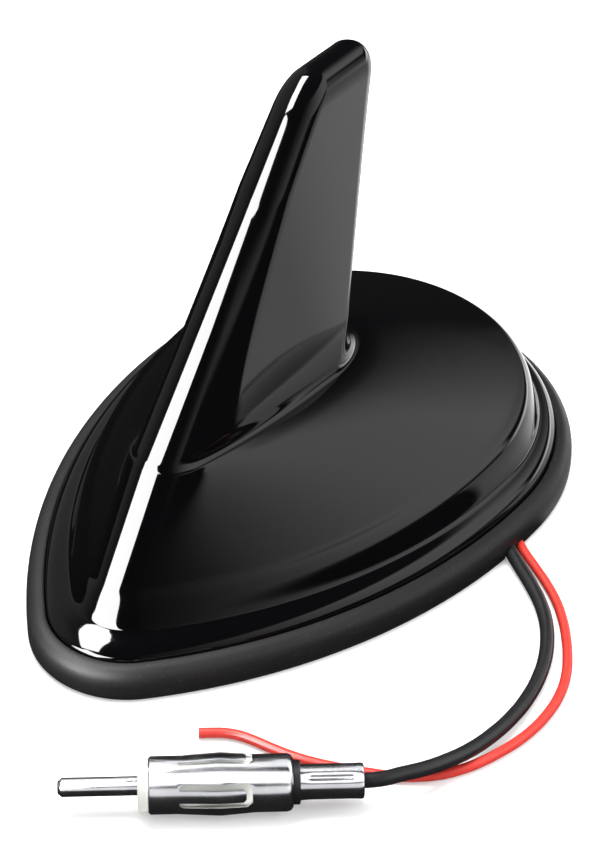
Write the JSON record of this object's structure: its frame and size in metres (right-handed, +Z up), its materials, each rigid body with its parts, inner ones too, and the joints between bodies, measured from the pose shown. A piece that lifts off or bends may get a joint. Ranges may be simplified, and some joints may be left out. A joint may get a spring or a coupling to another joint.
{
  "type": "shark fin aerial",
  "caption": "Shark fin roof aerial: hollow glossy housing on a rubber rim gasket and base plate, with circuit boards inside, a coaxial lead with an aerial plug, and a bare power wire.",
  "frame": {"origin": "on the roof face, below the middle of the gasket's outline", "axes": "+X from the nose towards the rear, +Z up from the roof, cables leave on the -Y side"},
  "size_m": [0.1556, 0.1201, 0.09],
  "materials": {
    "housing": "high gloss black moulding",
    "gasket": "matte black rubber",
    "pad": "closed-cell foam with adhesive",
    "plate": "filled moulding",
    "brass": "turned",
    "steel": "zinc plated",
    "board": "solder mask",
    "tin": "tin plated sheet",
    "package": "moulded package",
    "sleeve_blue": "shrink sleeve",
    "ferrite": "sintered",
    "copper": "enamelled wire",
    "black_jacket": "satin jacket",
    "red_jacket": "satin jacket",
    "nickel": "nickel plated",
    "white_plastic": "natural moulding",
    "black_rubber": "moulded collar"
  },
  "bodies": {
    "root": {"fin_housing": "housing", "rim_gasket": "gasket", "adhesive_pad": "pad", "base_plate": "plate", "threaded_insert": "brass", "housing_screws": "steel", "circuit_board": "board", "board_screws": "steel", "mast_board": "board", "shield_can": "tin", "amplifier_chip": "package", "supply_capacitor": "sleeve_blue", "supply_choke": "ferrite", "coil_core": "ferrite", "loading_coil": "copper", "cable_clamp": "plate", "clamp_screws": "steel", "coax_tail": "black_jacket", "power_tail": "red_jacket", "coax_lead": "black_jacket", "power_lead": "red_jacket", "plug_pin": "nickel", "plug_insulator": "white_plastic", "plug_shell": "nickel", "plug_sleeve": "black_rubber", "plug_ferrule": "nickel"}
  },
  "joints": []
}
